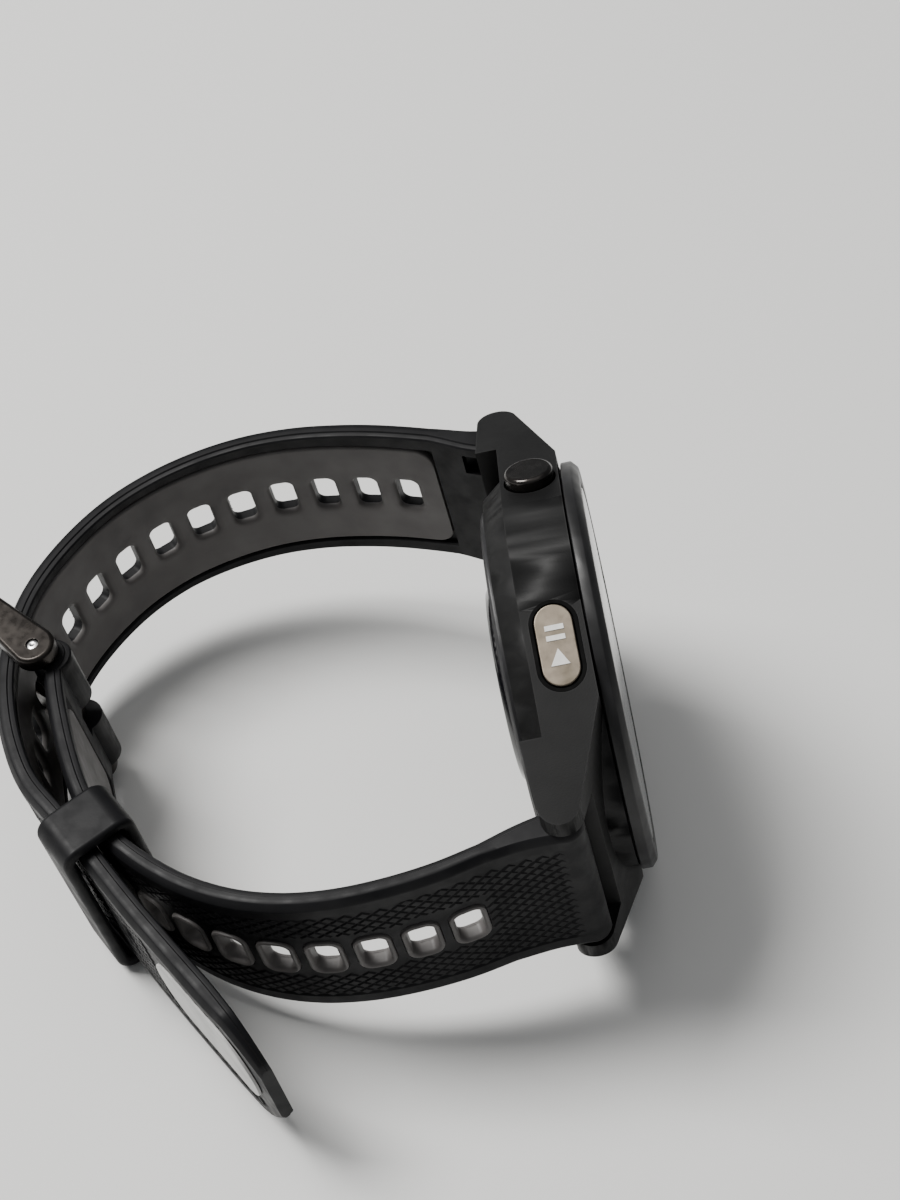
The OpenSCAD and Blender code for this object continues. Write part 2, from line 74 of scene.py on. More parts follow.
# Materials
# Cloud, grain, depth and wearWidth are millimetres, wear is the share of the worn colour on rubbed
# edges, and shine is the specular level.
finishes = {
    "case_polymer": dict(
        dark=(0.0045, 0.0045, 0.0047), light=(0.009, 0.009, 0.0091),
        cloud=9, rough=(0.46, 0.56), grain=0.16, depth=0.012, shine=0.2,
        wear=0.35, worn=(0.06, 0.06, 0.06), wearWidth=0.25,
    ),
    "bezel_polymer": dict(
        dark=(0.009, 0.009, 0.0095), light=(0.018, 0.018, 0.019),
        cloud=7, rough=(0.34, 0.46), grain=0.1, depth=0.004, shine=0.3,
        wear=0.4, worn=(0.1, 0.1, 0.1), wearWidth=0.25,
    ),
    "seal_rubber": dict(
        dark=(0.002, 0.002, 0.002), light=(0.004, 0.004, 0.004),
        cloud=3, rough=(0.5, 0.7), grain=0.1, depth=0.004, shine=0.05,
    ),
    "display": dict(
        dark=(0.002, 0.002, 0.003), light=(0.004, 0.004, 0.006),
        cloud=14, rough=(0.1, 0.2), grain=0.2, depth=0.001,
    ),
    "inner_metal": dict(
        dark=(0.42, 0.42, 0.44), light=(0.55, 0.55, 0.57),
        cloud=5, rough=(0.3, 0.45), grain=0.12, depth=0.003, metal=1,
    ),
    "antenna_metal": dict(
        dark=(0.6, 0.4, 0.16), light=(0.75, 0.55, 0.26),
        cloud=4, rough=(0.22, 0.38), grain=0.1, depth=0.002, metal=1,
    ),
    "board": dict(
        dark=(0.006, 0.05, 0.022), light=(0.012, 0.09, 0.04),
        cloud=2, rough=(0.3, 0.5), grain=0.25, depth=0.01,
    ),
    "contact_metal": dict(
        dark=(0.75, 0.52, 0.2), light=(0.9, 0.66, 0.3),
        cloud=1.5, rough=(0.18, 0.34), grain=0.08, depth=0.002, metal=1,
    ),
    "battery_foil": dict(
        dark=(0.34, 0.35, 0.37), light=(0.46, 0.47, 0.5),
        cloud=4, rough=(0.28, 0.45), grain=0.5, depth=0.02, metal=1,
    ),
    "steel": dict(
        dark=(0.5, 0.5, 0.5), light=(0.66, 0.65, 0.64),
        cloud=2, rough=(0.2, 0.36), grain=0.07, depth=0.003, metal=1,
    ),
    "weight_metal": dict(
        dark=(0.25, 0.24, 0.23), light=(0.36, 0.34, 0.32),
        cloud=1.5, rough=(0.35, 0.5), grain=0.1, depth=0.006, metal=1,
    ),
    "back_polymer": dict(
        dark=(0.01, 0.01, 0.011), light=(0.019, 0.019, 0.021),
        cloud=8, rough=(0.35, 0.5), grain=0.18, depth=0.01,
        wear=0.25, worn=(0.06, 0.06, 0.062), wearWidth=0.25,
    ),
    "sensor_glass": dict(
        dark=(0.003, 0.003, 0.004), light=(0.006, 0.006, 0.008),
        cloud=6, rough=(0.06, 0.14), grain=0.3, depth=0.001,
    ),
    "bronze_metal": dict(
        dark=(0.17, 0.145, 0.11), light=(0.26, 0.22, 0.175),
        cloud=2.5, rough=(0.34, 0.46), grain=0.09, depth=0.004, metal=0.85,
        wear=0.35, worn=(0.55, 0.5, 0.44), wearWidth=0.2,
    ),
    "dark_metal": dict(
        dark=(0.03, 0.028, 0.027), light=(0.055, 0.05, 0.047),
        cloud=2.5, rough=(0.14, 0.26), grain=0.09, depth=0.0015, metal=0.9,
        wear=0.4, worn=(0.3, 0.28, 0.25), wearWidth=0.18,
    ),
    "mark_white": dict(
        dark=(0.72, 0.71, 0.68), light=(0.82, 0.81, 0.78),
        cloud=0.7, rough=(0.4, 0.55), grain=0.06, depth=0.002,
    ),
    "silicone_black": dict(
        dark=(0.004, 0.004, 0.0048), light=(0.0085, 0.0085, 0.0095),
        cloud=7, rough=(0.4, 0.58), grain=0.2, depth=0.006, shine=0.16,
        wear=0.3, worn=(0.035, 0.034, 0.034), wearWidth=0.3,
    ),
    "silicone_grey": dict(
        dark=(0.092, 0.086, 0.084), light=(0.125, 0.118, 0.115),
        cloud=8, rough=(0.42, 0.58), grain=0.22, depth=0.006, shine=0.3,
        wear=0.2, worn=(0.2, 0.19, 0.185), wearWidth=0.3,
    ),
    "silicone_pale": dict(
        dark=(0.44, 0.44, 0.43), light=(0.55, 0.55, 0.54),
        cloud=5, rough=(0.4, 0.55), grain=0.2, depth=0.006,
    ),
    "gunmetal": dict(
        dark=(0.02, 0.0175, 0.016), light=(0.034, 0.03, 0.027),
        cloud=3, rough=(0.26, 0.4), grain=0.1, depth=0.003, metal=0.9,
        wear=0.35, worn=(0.3, 0.27, 0.25), wearWidth=0.25,
    ),
}


rubbed = {"turned": 0.86, "flat": 0.995, "thinnest": 0.25}


def noiseAt(tree, place, size, detail):
    noise = tree.nodes.new("ShaderNodeTexNoise")
    noise.inputs["Scale"].default_value = 1 / (size * mm)
    noise.inputs["Detail"].default_value = detail
    tree.links.new(place.outputs["Object"], noise.inputs["Vector"])
    return noise.outputs["Fac"]


def spread(tree, value, low, high, start=0.35, stop=0.65):
    span = tree.nodes.new("ShaderNodeMapRange")
    span.inputs["From Min"].default_value = start
    span.inputs["From Max"].default_value = stop
    span.inputs["To Min"].default_value = low
    span.inputs["To Max"].default_value = high
    tree.links.new(value, span.inputs["Value"])
    return span.outputs["Result"]


def mixColour(tree, share, first, second):
    mix = tree.nodes.new("ShaderNodeMix")
    mix.data_type = "RGBA"
    tree.links.new(share, mix.inputs["Factor"])
    for colour, socket in ((first, mix.inputs["A"]), (second, mix.inputs["B"])):
        if isinstance(colour, tuple):
            socket.default_value = (*colour, 1)
        else:
            tree.links.new(colour, socket)
    return mix.outputs["Result"]


def rubbedEdges(tree, width, cloud):
    # one where a soft edge turns away from the flat, broken up by the clouds
    edge = tree.nodes.new("ShaderNodeBevel")
    edge.samples = 4
    edge.inputs["Radius"].default_value = width * mm
    flat = tree.nodes.new("ShaderNodeNewGeometry")
    turn = tree.nodes.new("ShaderNodeVectorMath")
    turn.operation = "DOT_PRODUCT"
    tree.links.new(edge.outputs["Normal"], turn.inputs[0])
    tree.links.new(flat.outputs["Normal"], turn.inputs[1])
    worn = spread(tree, turn.outputs["Value"], 1, 0, rubbed["turned"], rubbed["flat"])
    patch = tree.nodes.new("ShaderNodeMath")
    patch.operation = "MULTIPLY"
    tree.links.new(worn, patch.inputs[0])
    tree.links.new(spread(tree, cloud, rubbed["thinnest"], 1), patch.inputs[1])
    return patch.outputs["Value"]


def makeFinish(name):
    look = finishes[name]
    material = bpy.data.materials.new(name)
    material.use_nodes = True
    tree = material.node_tree
    shader = tree.nodes["Principled BSDF"]
    place = tree.nodes.new("ShaderNodeTexCoord")
    cloud = noiseAt(tree, place, look["cloud"], 5)
    grain = noiseAt(tree, place, look["grain"], 2)
    colour = mixColour(tree, spread(tree, cloud, 0, 1), look["dark"], look["light"])
    if "wear" in look:
        worn = rubbedEdges(tree, look["wearWidth"], cloud)
        share = tree.nodes.new("ShaderNodeMath")
        share.operation = "MULTIPLY"
        share.inputs[1].default_value = look["wear"]
        tree.links.new(worn, share.inputs[0])
        colour = mixColour(tree, share.outputs["Value"], colour, look["worn"])
    tree.links.new(colour, shader.inputs["Base Color"])
    smear = noiseAt(tree, place, look["cloud"] * 0.35, 6)
    tree.links.new(spread(tree, smear, *look["rough"]), shader.inputs["Roughness"])
    bump = tree.nodes.new("ShaderNodeBump")
    bump.inputs["Distance"].default_value = look["depth"] * mm
    tree.links.new(grain, bump.inputs["Height"])
    tree.links.new(bump.outputs["Normal"], shader.inputs["Normal"])
    shader.inputs["Metallic"].default_value = look.get("metal", 0)
    shader.inputs["Specular IOR Level"].default_value = look.get("shine", 0.5)
    return material


def makeLensGlass():
    # clear cover glass, with a faint haze of fine scratches
    material = bpy.data.materials.new("lens_glass")
    material.use_nodes = True
    tree = material.node_tree
    shader = tree.nodes["Principled BSDF"]
    shader.inputs["Base Color"].default_value = (0.55, 0.58, 0.6, 1)
    shader.inputs["Transmission Weight"].default_value = 0.9
    shader.inputs["IOR"].default_value = 1.52
    place = tree.nodes.new("ShaderNodeTexCoord")
    haze = noiseAt(tree, place, 4, 6)
    tree.links.new(spread(tree, haze, 0.02, 0.08), shader.inputs["Roughness"])
    return material


materials = {name: makeFinish(name) for name in finishes}
materials["lens_glass"] = makeLensGlass()
print("materials made")


# Pieces
def addPiece(name, shape, slot, body, *stands):
    # shape is a bmesh in the watch's millimetres
    bmesh.ops.recalc_face_normals(shape, faces=shape.faces)
    mesh = bpy.data.meshes.new(name)
    shape.transform(watchLie)
    shape.to_mesh(mesh)
    shape.free()
    piece = bpy.data.objects.new(name, mesh)
    bpy.context.scene.collection.objects.link(piece)
    mesh.materials.append(materials[slot])
    for face in mesh.polygons:
        face.use_smooth = True
    piece.modifiers.new("clean shading", "WEIGHTED_NORMAL").keep_sharp = True
    mesh.set_sharp_from_angle(angle=math.radians(38))
    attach(piece, body)
    if stands:
        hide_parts(*stands)
    return piece


def ringsToMesh(shape, rings, closed=False, capped=True):
    # joins rings of points, each with the same count
    made = [[shape.verts.new(point) for point in ring] for ring in rings]
    pairs = list(zip(made, made[1:])) + ([(made[-1], made[0])] if closed else [])
    for low, high in pairs:
        for i in range(len(low)):
            k = (i + 1) % len(low)
            shape.faces.new((low[i], low[k], high[k], high[i]))
    if capped and not closed:
        shape.faces.new(reversed(made[0]))
        shape.faces.new(made[-1])
    return made


def roundedOutline(halfX, halfY, radius, steps=6):
    # corner by corner, counter-clockwise
    radius = min(radius, halfX, halfY)
    corners = ((1, 1, 0), (-1, 1, 90), (-1, -1, 180), (1, -1, 270))
    return [
        ((halfX - radius) * sx + radius * math.cos(math.radians(turn + 90 * k / steps)),
         (halfY - radius) * sy + radius * math.sin(math.radians(turn + 90 * k / steps)))
        for sx, sy, turn in corners for k in range(steps + 1)
    ]


class Route:
    # a smooth line through points in the loop's plane, measured along its length
    def __init__(self, points, steps=12):
        last = len(points) - 1
        self.line = []
        for i in range(last):
            a, b, c, d = (Vector(points[max(0, min(last, i + k))]) for k in (-1, 0, 1, 2))
            for k in range(steps):
                t = k / steps
                self.line.append(0.5 * (2 * b + (c - a) * t + (2 * a - 5 * b + 4 * c - d) * t * t
                                        + (3 * b - a - 3 * c + d) * t ** 3))
        self.line.append(Vector(points[last]))
        self.reach = [0]
        for before, after in zip(self.line, self.line[1:]):
            self.reach.append(self.reach[-1] + (after - before).length)
        self.length = self.reach[-1]
        self.side = []
        for i in range(len(self.line)):
            ahead = self.line[min(i + 1, len(self.line) - 1)] - self.line[max(i - 1, 0)]
            self.side.append(Vector((-ahead.y, ahead.x)).normalized())

    def at(self, along):
        # the point and the direction to its left
        i = max(0, min(len(self.line) - 2, bisect.bisect_right(self.reach, along) - 1))
        t = (along - self.reach[i]) / (self.reach[i + 1] - self.reach[i])
        inside = max(0, min(1, t))
        return (self.line[i].lerp(self.line[i + 1], t),
                self.side[i].lerp(self.side[i + 1], inside).normalized())


def bend(shape, route, inward):
    # flat (along, across, height above the middle towards the wrist) onto the route
    for vert in shape.verts:
        point, side = route.at(vert.co.x)
        spot = point + side * inward * vert.co.z
        vert.co = Vector((spot.x, spot.y, vert.co.y))


def cutAway(shape, cutter):
    # takes the closed shapes in cutter out of shape
    pair = []
    for i, part in enumerate((shape, cutter)):
        bmesh.ops.recalc_face_normals(part, faces=part.faces)
        mesh = bpy.data.meshes.new("cut%d" % i)
        part.to_mesh(mesh)
        part.free()
        item = bpy.data.objects.new("cut%d" % i, mesh)
        bpy.context.scene.collection.objects.link(item)
        pair.append(item)
    cut = pair[0].modifiers.new("cut", "BOOLEAN")
    cut.operation = "DIFFERENCE"
    cut.solver = "EXACT"
    cut.object = pair[1]
    cut.use_self = False
    bpy.context.view_layer.update()
    done = bmesh.new()
    evaluated = pair[0].evaluated_get(bpy.context.evaluated_depsgraph_get())
    done.from_mesh(evaluated.to_mesh())
    for item in pair:
        bpy.data.objects.remove(item)
    return done


def funnel(shape, centre, half, radius, levels):
    # a rounded hole: at each height its outline is grown by so much
    rings = []
    for height, grow in levels:
        outline = roundedOutline(half[0] + grow, half[1] + grow, radius + grow)
        rings.append([Vector((centre + x, y, height)) for x, y in outline])
    ringsToMesh(shape, rings)


# Straps
straps = {
    "width": 21.9, "tipWidth": 20.2, "taper": (8, 45),
    "hole": (2.9, 5.0), "holeCorner": 0.9,
    "step": 0.5,              # between cross-sections
    "border": 2.3, "sunk": 0.22,
    "linerWidth": 17.0, "linerDepth": 0.7,
    "endRadius": 2.1,
    "linerCorner": 2.4,
    "diamond": (0.92, 1.3), "diamondTop": 0.16,
    "diamondClear": 0.75,     # smooth margin round a hole
    "panelClear": (1.2, 1),   # and round the tail's panel
    # how far in from the face, and how much wider the hole is there
    "outerFunnel": [(-0.6, 0.75), (-0.01, 0.42), (0.14, 0.2), (0.34, 0.05), (0.6, 0)],
    "linerFunnel": [(0.62, 0), (0.4, 0.07), (0.2, 0.22), (0.07, 0.46), (0.01, 0.8), (-0.01, 1.0),
                    (-0.5, 1.05)],
}
longStrap = {
    "route": [(-2.2, 26.7), (-6, 27.9), (-10.5, 30.1), (-16.5, 32.5), (-21.8, 34.1), (-27.3, 35.2),
              (-33.2, 35.5), (-39.3, 34.7), (-45.2, 32.8), (-50.6, 29.6), (-55.4, 25), (-59, 19.8),
              (-61.1, 14.2), (-62, 9), (-62, 4), (-61.2, -1.5), (-59.5, -7), (-56.6, -11.9),
              (-53.7, -16.3), (-50.9, -21.3), (-47.9, -26.4), (-44.7, -31.5), (-41.4, -36.7),
              (-38.2, -41.8), (-36, -45.3)],
    "thick": 2.3, "inward": 1, "first": 13.5, "pitch": 5.33, "count": 19, "liner": (9, 112),
    "panel": (116.5, 134.5), "panelWidth": 11, "tip": 5.1,
    "panelDeep": 0.28, "panelEdge": 0.06, "panelProud": 0.02, "panelSoft": 0.25, "panelPoint": 4.2,
}
shortStrap = {
    "route": [(-2.2, -26.7), (-6.5, -27.2), (-11, -28.2), (-16, -29.3), (-21.5, -29.9), (-27, -29.9),
              (-32.3, -29.1), (-37.3, -27.4), (-41.9, -24.8), (-45.8, -21.6), (-49.1, -18.1),
              (-51.8, -14.3), (-53.7, -9.4), (-55, -4.2), (-55.9, 1), (-56.4, 5.2), (-56.6, 9.2)],
    "thick": 2.15, "inward": -1, "first": 12.4, "pitch": 5.12, "count": 10, "liner": (9, 74),
    "roll": 2.4, "collar": 0.62,
    "slot": (4, 2.0, 0.3), "slotPast": 0.6,    # where the tongue passes the roll
}


def halfWidth(strap, route, along):
    x = -route.at(along)[0].x
    start, stop = straps["taper"]
    share = max(0, min(1, (x - start) / (stop - start)))
    half = (straps["width"] + (straps["tipWidth"] - straps["width"]) * share) / 2
    past = along - (route.length - strap.get("tip", 0))
    if "tip" in strap and past > 0:
        half -= past / strap["tip"] * 5.4 * (0.35 + 0.65 * past / strap["tip"])
    return half


def halfThick(strap, route, along):
    # round at the lug, tapered to the strap's thickness, and round again at the pin
    half = strap["thick"] / 2
    end = straps["endRadius"]
    if along < 0:
        return math.sqrt(max(end ** 2 - along ** 2, 0.01))
    half = max(half, end + (half - end) * min(1, along / 9) ** 0.8)
    if "roll" in strap:
        away = abs(along - route.length)
        if away < strap["roll"]:
            half = max(half, math.sqrt(max(strap["roll"] ** 2 - away ** 2, 0.01)))
        if along > route.length:
            half = math.sqrt(max(strap["roll"] ** 2 - away ** 2, 0.01))
    if "tip" in strap:
        past = max(0, along - (route.length - 2 * strap["tip"]))
        half -= 0.45 * (past / (2 * strap["tip"])) ** 1.5
    return half


def strapSection(half, thick, pocket, sunk):
    # half the outline from the outer face's middle to the inner face's middle, then mirrored
    edge = straps["border"]
    tall = min(1, thick)
    inner = min(half - 0.9, straps["linerWidth"] / 2 + 0.2)
    low, high = -thick, thick
    side = [
        (0, low + sunk), (half - edge - 0.25, low + sunk), (half - edge, low), (half - 1, low),
        (half - 0.75, low + 0.04 * tall), (half - 0.12, low + 0.5 * tall), (half - 0.02, low + 0.62 * tall),
        (half, 0), (half, high - 0.75 * tall), (half - 0.16, high - 0.62 * tall),
        (half - 0.16, high - 0.48 * tall),
        (half - 0.22, high - 0.16 * tall), (half - 0.42, high), (inner + 0.15, high),
        (inner, high - pocket * 0.25), (inner - 0.08, high - pocket), (0, high - pocket),
    ]
    return side + [(-w, h) for w, h in reversed(side[1:-1])]


def strapStations(strap, route):
    end = straps["endRadius"]
    start = [-end * math.cos(math.radians(a)) for a in range(8, 90, 12)]
    finish = route.length
    if "roll" in strap:
        finish += strap["roll"] * 0.995
    count = int((finish) / straps["step"])
    marks = [finish * k / count for k in range(count + 1)]
    for edge in strap["liner"]:
        marks += [edge - 0.35, edge - 0.34]
    if "roll" in strap:
        marks += [route.length + strap["roll"] * math.sin(math.radians(a)) for a in range(-80, 89, 8)]
    marks = sorted(start + marks)
    return [m for i, m in enumerate(marks) if i == 0 or m - marks[i - 1] > 0.008]


def drawStrap(strap, route):
    shape = bmesh.new()
    rings = []
    first, last = strap["liner"]
    for along in strapStations(strap, route):
        half = halfWidth(strap, route, along)
        thick = halfThick(strap, route, along)
        inPocket = first - 0.35 < along < last + 0.35
        pocket = straps["linerDepth"] if inPocket else 0
        far = min(along + 1, route.length - 1.5 - along)
        sunk = straps["sunk"] * max(0, min(1, far / 3))
        rings.append([Vector((along, w, h)) for w, h in strapSection(half, thick, pocket, sunk)])
    ringsToMesh(shape, rings)
    return shape


def holeSpots(strap):
    return [strap["first"] + strap["pitch"] * k for k in range(strap["count"])]


def drawDiamonds(shape, strap, route):
    # raised diamonds in slanted rows over the sunk middle of the outer face
    stepAlong, stepAcross = straps["diamond"]
    grow = strap.get("collar", 0) + straps["diamondClear"]
    clearAlong, clearAcross = straps["panelClear"]
    length, width = straps["hole"]
    row = 0
    along = 1.2
    while along < route.length - 3:
        half = halfWidth(strap, route, along) - straps["border"] - 0.55
        thick = halfThick(strap, route, along)
        across = -half + (stepAcross / 2 if row % 2 else 0)
        while across <= half:
            nearest = min(holeSpots(strap), key=lambda s: abs(s - along))
            clear = abs(along - nearest) > length / 2 + grow or abs(across) > width / 2 + grow
            onPanel = False
            if "panel" in strap:
                first, last = strap["panel"]
                onPanel = (first - clearAlong < along < last + clearAlong
                           and abs(across) < strap["panelWidth"] / 2 + clearAcross)
            if clear and not onPanel:
                foot = -thick + straps["sunk"] + 0.05
                top = foot - 0.05 - straps["diamondTop"]
                a, b = stepAlong * 0.98, stepAcross * 0.49
                rings = []
                for share, height in ((1, foot), (0.62, top)):
                    rings.append([Vector((along + x * share, across + y * share, height))
                                  for x, y in ((a, 0), (0, b), (-a, 0), (0, -b))])
                ringsToMesh(shape, rings)
            across += stepAcross
        along += stepAlong
        row += 1


def strapCutter(strap, thick):
    cutter = bmesh.new()
    length, width = straps["hole"]
    collar = strap.get("collar", 0)
    for along in holeSpots(strap):
        top = thick / 2
        levels = [(depth - top, grow) for depth, grow in straps["outerFunnel"]] + [(top + 1, 0)]
        if collar:
            levels = [(-top - 1, collar + 0.05), (top + 1, collar + 0.05)]
        funnel(cutter, along, (length / 2, width / 2), straps["holeCorner"], levels)
    return cutter


def drawLiner(strap):
    # the grey layer: soft edges, rounded corners and a soft funnel round each hole
    shape = bmesh.new()
    first, last = strap["liner"]
    half = straps["linerWidth"] / 2 - 0.1
    top = strap["thick"] / 2 - 0.02
    low = strap["thick"] / 2 - straps["linerDepth"] - 0.02
    corner = straps["linerCorner"]
    count = int((last - first) / straps["step"])
    marks = [first + corner * (1 - math.cos(math.radians(a))) for a in range(6, 90, 7)]
    marks += [last - corner * (1 - math.cos(math.radians(a))) for a in range(6, 90, 7)]
    marks += [first + corner + (last - first - 2 * corner) * k / count for k in range(count + 1)]
    rings = []
    for along in sorted(marks):
        into = min(along - first, last - along, corner)
        w = half - corner + math.sqrt(corner ** 2 - (corner - into) ** 2)
        ends = [(w, low), (w, top - 0.3), (w - 0.07, top - 0.14), (w - 0.2, top - 0.04), (w - 0.42, top)]
        inner = [(w * k / 4, top) for k in (3, 2, 1, 0, -1, -2, -3)]
        outline = ends + inner + [(-x, h) for x, h in reversed(ends)]
        rings.append([Vector((along, x, h)) for x, h in outline])
    ringsToMesh(shape, rings)
    cutter = bmesh.new()
    length, width = straps["hole"]
    for along in holeSpots(strap):
        levels = [(low - 1, 0)] + [(top - depth, grow) for depth, grow in straps["linerFunnel"]]
        funnel(cutter, along, (length / 2, width / 2), straps["holeCorner"], levels)
    shape = cutAway(shape, cutter)
    if "collar" in strap:
        drawCollars(shape, strap, low)
    return shape


def drawCollars(shape, strap, foot):
    # a grey tube round each hole that shows on the outer face
    length, width = straps["hole"]
    wall = strap["collar"]
    lip = -strap["thick"] / 2 - 0.12
    levels = [(foot + 0.1, 0), (foot + 0.1, wall - 0.03), (lip + 0.3, wall - 0.03), (lip + 0.1, wall - 0.1),
              (lip, wall - 0.26), (lip + 0.04, 0.2), (lip + 0.22, 0.05), (lip + 0.5, 0)]
    for along in holeSpots(strap):
        rings = []
        for height, grow in levels:
            outline = roundedOutline(length / 2 + grow, width / 2 + grow, straps["holeCorner"] + grow)
            rings.append([Vector((along + x, y, height)) for x, y in outline])
        ringsToMesh(shape, rings, closed=True)


def barCutter(side):
    # room for the spring bar and for the knob of its tip
    cutter = bmesh.new()
    y = side * case["barAlong"]
    rings = []
    for z in (-20, 20):
        turns = [math.radians(a) for a in range(0, 360, 15)]
        rings.append([Vector((case["barHeight"] + case["barRoom"] * math.cos(a),
                              y + case["barRoom"] * math.sin(a), z)) for a in turns])
    ringsToMesh(cutter, rings)
    halfTall = case["knobSlot"][0]
    box = roundedOutline(*case["knobSlot"])
    levels = (case["knobFrom"], case["knobTo"])
    ringsToMesh(cutter, [[Vector((case["barHeight"] - halfTall + a, y + b, z)) for a, b in box]
                         for z in levels])
    return cutter


def makeStrap(name, strap, side):
    route = Route(strap["route"])
    shape = cutAway(drawStrap(strap, route), strapCutter(strap, strap["thick"]))
    if "roll" in strap:
        slot = bmesh.new()
        middle = route.length + strap["slotPast"]
        box = roundedOutline(*strap["slot"])
        ringsToMesh(slot, [[Vector((middle + a, b, z)) for a, b in box] for z in (-4, 4)])
        shape = cutAway(shape, slot)
    drawDiamonds(shape, strap, route)
    bend(shape, route, strap["inward"])
    shape = cutAway(shape, barCutter(side))
    addPiece(name, shape, "silicone_black", "watch", name)
    liner = drawLiner(strap)
    bend(liner, route, strap["inward"])
    addPiece(name + "_liner", liner, "silicone_grey", "watch", name + "_liner")
    print(name, "made,", round(route.length, 1), "mm along")
    return route


def makeTailPanel(route):
    # a smooth pale panel with leaf-shaped ends on the tail's outer face
    first, last = longStrap["panel"]
    half = longStrap["panelWidth"] / 2
    shape = bmesh.new()
    outer = -longStrap["thick"] / 2
    rings = []
    for k in range(61):
        share = k / 60
        along = first + (last - first) * share
        into = min(1, longStrap["panelPoint"] * share, longStrap["panelPoint"] * (1 - share))
        w = half * math.sqrt(max(0.0025, 1 - (1 - into) ** 2))
        top = w - longStrap["panelSoft"] * into
        side = [(w, outer + longStrap["panelEdge"]), (w, outer + longStrap["panelDeep"])]
        flat = [(-x, h) for x, h in reversed(side)]
        flat += [(-top, outer - longStrap["panelProud"]), (top, outer - longStrap["panelProud"])]
        flat += side
        rings.append([Vector((along, x, h)) for x, h in flat])
    ringsToMesh(shape, rings)
    bend(shape, route, longStrap["inward"])
    addPiece("tail_panel", shape, "silicone_pale", "watch", "tail_panel")


longRoute = makeStrap("long_strap", longStrap, 1)
makeStrap("short_strap", shortStrap, -1)
makeTailPanel(longRoute)

# Keeper
keeper = {
    "at": (-52.7, -15.35), "turn": -60, "gap": 6.2, "wall": 1.4, "long": 6.6, "inside": 10.35,
    "corner": 1.4, "soft": 0.55,
}


def makeKeeper():
    shape = bmesh.new()
    turn = math.radians(keeper["turn"])
    ahead = Vector((math.cos(turn), math.sin(turn), 0))
    across = Vector((-math.sin(turn), math.cos(turn), 0))
    centre = Vector((*keeper["at"], 0))
    wall, soft, half = keeper["wall"], keeper["soft"], keeper["long"] / 2
    section = roundedOutline(wall / 2, half, soft, 5)
    outer = roundedOutline(keeper["gap"] / 2 + wall / 2, keeper["inside"] + wall / 2, keeper["corner"], 8)
    rings = []
    for i, (x, y) in enumerate(outer):
        bx, by = outer[i - 1]
        ax, ay = outer[(i + 1) % len(outer)]
        away = Vector((ay - by, bx - ax)).normalized()
        ring = []
        for out, along in section:
            spot = Vector((x, y)) + away * out
            ring.append(centre + across * spot.x + Vector((0, 0, spot.y)) + ahead * along)
        rings.append(ring)
    ringsToMesh(shape, rings, closed=True)
    addPiece("keeper_loop", shape, "silicone_black", "keeper", "keeper_loop")


makeKeeper()
print("keeper made")

# Buckle
buckle = {
    "pin": (-57.9, 9.3), "bar": (-64, 17.1), "pinRadius": 0.75, "eye": 2.5, "nose": 1.8,
    "armInside": 10.35, "armThick": 2.2, "barRadius": 1.4, "soft": 0.5,
    "tongue": [(-57.9, 9.3), (-60.9, 12), (-63.3, 13.6), (-65.4, 15.2), (-66.2, 17.3), (-66, 19.4)],
    "tongueThick": 1.3, "tongueWidth": 3.2, "tongueEye": 1.9, "tongueSoft": 0.3, "tongueFrom": 1.3,
}


def armOutline(inset):
    # two circles and the straight sides between them
    pin, bar = Vector(buckle["pin"]), Vector(buckle["bar"])
    big, small = buckle["eye"] - inset, buckle["nose"] - inset
    reach = bar - pin
    base = math.atan2(reach.y, reach.x)
    lean = math.acos((buckle["eye"] - buckle["nose"]) / reach.length)
    points = []
    for k in range(25):
        a = base - lean + 2 * lean * k / 24
        points.append(bar + small * Vector((math.cos(a), math.sin(a))))
    for k in range(33):
        a = base + lean + (2 * math.pi - 2 * lean) * k / 32
        points.append(pin + big * Vector((math.cos(a), math.sin(a))))
    return points


def softSlab(shape, outlineAt, low, high, soft):
    # a slab with rounded edges; outlineAt gives its outline for an inset
    turns = [math.radians(t) for t in range(0, 91, 15)]
    rings = [(low + soft * (1 - math.cos(t)), soft * (1 - math.sin(t))) for t in turns]
    rings += [(low + high - z, inset) for z, inset in reversed(rings)]
    ringsToMesh(shape, [[Vector((p.x, p.y, z)) for p in outlineAt(inset)] for z, inset in rings])


def turned(shape, centre, profile, count=48):
    # a solid turned about the line through centre along Z; profile is (radius, z)
    turns = [2 * math.pi * k / count for k in range(count)]
    rings = []
    for radius, z in profile:
        rings.append([Vector((centre[0] + radius * math.cos(turn), centre[1] + radius * math.sin(turn), z))
                      for turn in turns])
    ringsToMesh(shape, rings)


def makeBuckle():
    shape = bmesh.new()
    near = buckle["armInside"]
    far = near + buckle["armThick"]
    for low, high in ((near, far), (-far, -near)):
        softSlab(shape, armOutline, low, high, buckle["soft"])
    hole = bmesh.new()
    turned(hole, buckle["pin"], [(buckle["pinRadius"] + 0.01, z) for z in (-far - 1, far + 1)])
    shape = cutAway(shape, hole)
    turned(shape, buckle["bar"], [(buckle["barRadius"], z) for z in (-near - 0.4, near + 0.4)])
    addPiece("buckle_frame", shape, "gunmetal", "buckle", "buckle_frame")
    pin = bmesh.new()
    r, end = buckle["pinRadius"], far - 0.1
    dome = [(0.05, end - 0.04), (0.2, end - 0.03), (0.26, end), (0.45, end), (r - 0.08, end - 0.1)]
    dome.append((r, end - 0.3))
    turned(pin, buckle["pin"], [(a, -b) for a, b in dome] + list(reversed(dome)))
    addPiece("buckle_pin", pin, "steel", "buckle", "buckle_pin")


